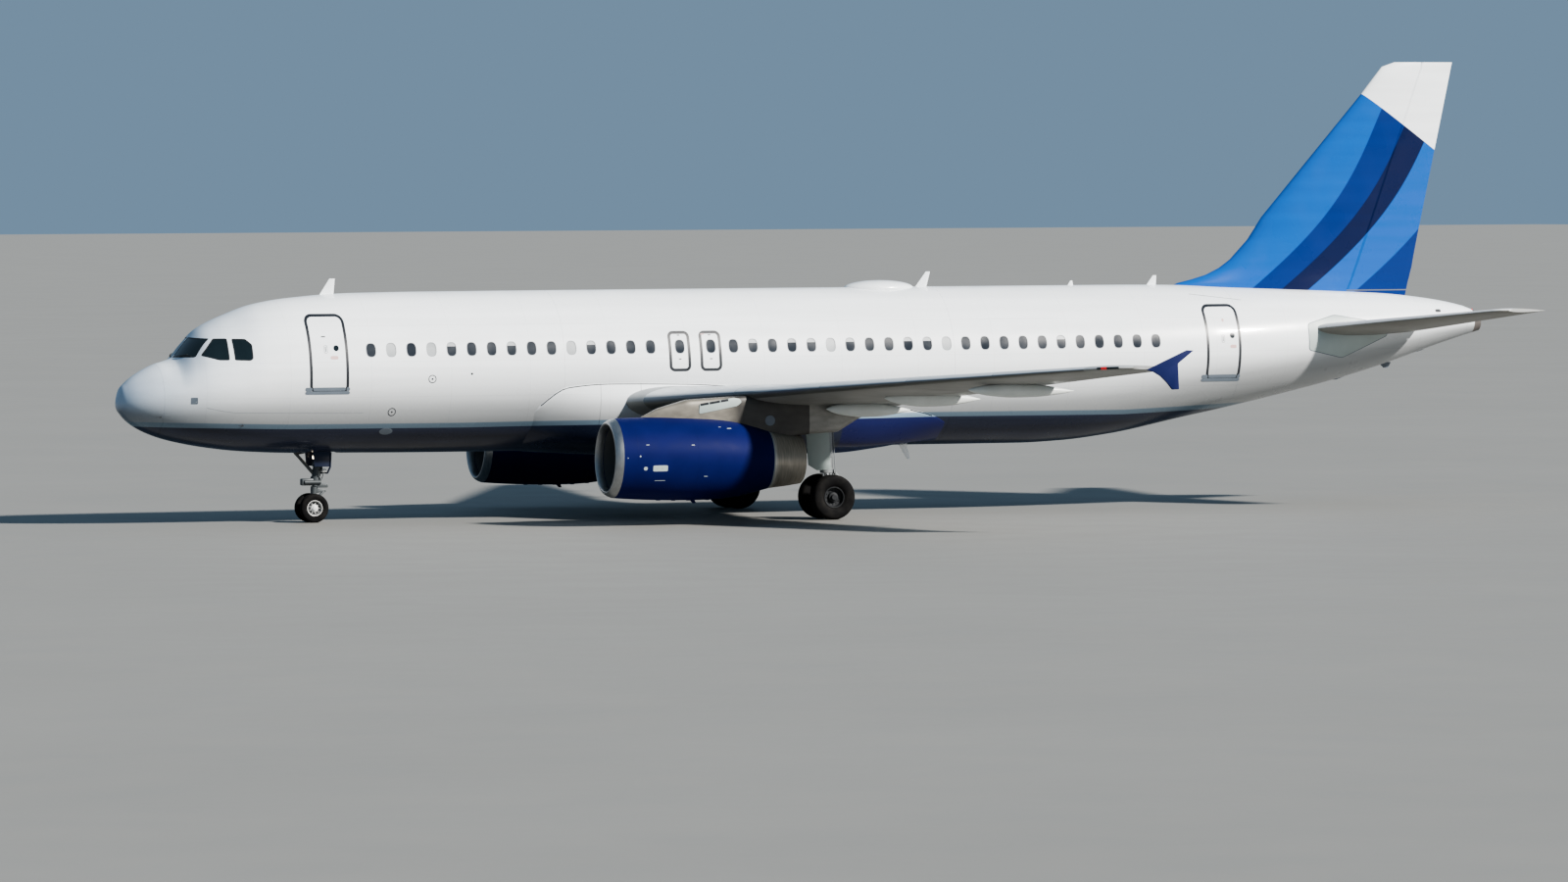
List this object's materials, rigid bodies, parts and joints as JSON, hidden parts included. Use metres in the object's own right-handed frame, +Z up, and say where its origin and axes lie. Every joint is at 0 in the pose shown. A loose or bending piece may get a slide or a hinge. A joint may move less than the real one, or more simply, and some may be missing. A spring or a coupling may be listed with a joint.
{
  "type": "narrow-body airliner",
  "caption": "Narrow-body jet airliner parked on its landing gear, with turning wheels and fans, steered nose gear, hinged control surfaces and opening cargo doors.",
  "frame": {"origin": "on the ground under the middle of the length, on the plane of symmetry", "axes": "-X towards the nose, -Y towards the left wing, +Z up"},
  "size_m": [37.57, 34.1, 11.76],
  "materials": {
    "fuselage_paint": "gloss painted skin, white over navy",
    "radome_paint": "gloss painted composite",
    "cockpit_glass": "dark coated glazing",
    "fairing_paint": "gloss painted composite",
    "fin_paint": "gloss painted composite in blues",
    "tail_paint": "gloss painted composite",
    "wing_paint": "satin grey paint",
    "leading_edge_metal": "bare polished metal",
    "flap_paint": "satin pale grey paint",
    "engine_paint": "gloss blue paint",
    "inlet_metal": "polished bare metal",
    "exhaust_metal": "heat-stained metal",
    "fan_metal": "satin metal",
    "gear_metal": "pale grey paint and bare metal",
    "wheel_metal": "painted wheel",
    "tyre_rubber": "worn matte rubber"
  },
  "bodies": {
    "airframe": {"radome": "radome_paint", "forward_fuselage": "fuselage_paint", "centre_fuselage": "fuselage_paint", "aft_fuselage": "fuselage_paint", "tail_fuselage": "fuselage_paint", "apu_exhaust_cone": "exhaust_metal", "cockpit_glazing": "cockpit_glass", "door_forward_left": "fuselage_paint", "door_forward_right": "fuselage_paint", "door_aft_left": "fuselage_paint", "door_aft_right": "fuselage_paint", "satcom_dome": "radome_paint", "belly_fairing": "fairing_paint", "fin": "fin_paint", "nose_gear_leg": "gear_metal", "wing_left": "wing_paint", "wing_right": "wing_paint", "slats_left": "leading_edge_metal", "slats_right": "leading_edge_metal", "flap_inboard_left": "flap_paint", "flap_inboard_right": "flap_paint", "flap_outboard_left": "flap_paint", "flap_outboard_right": "flap_paint", "wingtip_fence_left": "fairing_paint", "wingtip_fence_right": "fairing_paint", "stabiliser_left": "tail_paint", "stabiliser_right": "tail_paint", "inlet_lip_left": "inlet_metal", "inlet_lip_right": "inlet_metal", "engine_cowl_left": "engine_paint", "engine_cowl_right": "engine_paint", "nozzle_left": "exhaust_metal", "nozzle_right": "exhaust_metal", "engine_core_left": "exhaust_metal", "engine_core_right": "exhaust_metal", "pylon_left": "wing_paint", "pylon_right": "wing_paint", "main_gear_leg_left": "gear_metal", "main_gear_leg_right": "gear_metal"},
    "rudder": {"rudder": "fin_paint"},
    "elevator_left": {"elevator_left": "tail_paint"},
    "elevator_right": {"elevator_right": "tail_paint"},
    "aileron_left": {"aileron_left": "wing_paint"},
    "aileron_right": {"aileron_right": "wing_paint"},
    "fan_left": {"fan_left": "fan_metal"},
    "fan_right": {"fan_right": "fan_metal"},
    "cargo_door_forward": {"cargo_door_forward": "fuselage_paint"},
    "cargo_door_aft": {"cargo_door_aft": "fuselage_paint"},
    "nose_gear_steered": {"nose_gear_steered": "gear_metal"},
    "nose_wheels": {"nose_wheels": "wheel_metal", "nose_tyre_left": "tyre_rubber", "nose_tyre_right": "tyre_rubber"},
    "main_wheels_left": {"main_wheels_left": "wheel_metal", "main_tyre_left_left": "tyre_rubber", "main_tyre_left_right": "tyre_rubber"},
    "main_wheels_right": {"main_wheels_right": "wheel_metal", "main_tyre_right_left": "tyre_rubber", "main_tyre_right_right": "tyre_rubber"}
  },
  "joints": [
    {"name": "nose_steering", "type": "hinge", "parent": "airframe", "child": "nose_gear_steered", "pos_m": [-13.68, 0, 0.37], "axis": [0.1447, 0, 0.9895], "range_deg": [-75, 75]},
    {"name": "nose_wheels_roll", "type": "hinge", "parent": "nose_gear_steered", "child": "nose_wheels", "pos_m": [-13.68, 0, 0.37], "axis": [0, 1, 0], "continuous": true},
    {"name": "main_wheels_left_roll", "type": "hinge", "parent": "airframe", "child": "main_wheels_left", "pos_m": [-1.075, -3.795, 0.575], "axis": [0, 1, 0], "continuous": true},
    {"name": "main_wheels_right_roll", "type": "hinge", "parent": "airframe", "child": "main_wheels_right", "pos_m": [-1.075, 3.795, 0.575], "axis": [0, 1, 0], "continuous": true},
    {"name": "fan_left_spin", "type": "hinge", "parent": "airframe", "child": "fan_left", "pos_m": [-6.5453, -5.75, 1.69568], "axis": [0.9997, 0, -0.0227], "continuous": true},
    {"name": "fan_right_spin", "type": "hinge", "parent": "airframe", "child": "fan_right", "pos_m": [-6.5453, 5.75, 1.69568], "axis": [0.9997, 0, -0.0227], "continuous": true},
    {"name": "rudder_hinge", "type": "hinge", "parent": "airframe", "child": "rudder", "pos_m": [14.96652, 0, 5.66], "axis": [0.3431, 0, 0.9393], "range_deg": [-30, 30]},
    {"name": "elevator_left_hinge", "type": "hinge", "parent": "airframe", "child": "elevator_left", "pos_m": [15.6167, -1.112, 4.62406], "axis": [0.3333, -0.9372, 0.1034], "range_deg": [-17, 30]},
    {"name": "elevator_right_hinge", "type": "hinge", "parent": "airframe", "child": "elevator_right", "pos_m": [15.6167, 1.112, 4.62406], "axis": [-0.3333, -0.9372, -0.1034], "range_deg": [-17, 30]},
    {"name": "aileron_left_hinge", "type": "hinge", "parent": "airframe", "child": "aileron_left", "pos_m": [1.59659, -13.48, 3.77038], "axis": [0.3192, -0.9442, 0.0812], "range_deg": [-25, 25]},
    {"name": "aileron_right_hinge", "type": "hinge", "parent": "airframe", "child": "aileron_right", "pos_m": [1.59659, 13.48, 3.77038], "axis": [0.3192, 0.9442, 0.0812], "range_deg": [-25, 25]},
    {"name": "cargo_door_forward_hinge", "type": "hinge", "parent": "airframe", "child": "cargo_door_forward", "pos_m": [-10.725, 1.92314, 3.34], "axis": [1, 0, 0], "range_deg": [0, 80]},
    {"name": "cargo_door_aft_hinge", "type": "hinge", "parent": "airframe", "child": "cargo_door_aft", "pos_m": [3.835, 1.92339, 3.34], "axis": [1, 0, 0], "range_deg": [0, 80]}
  ]
}
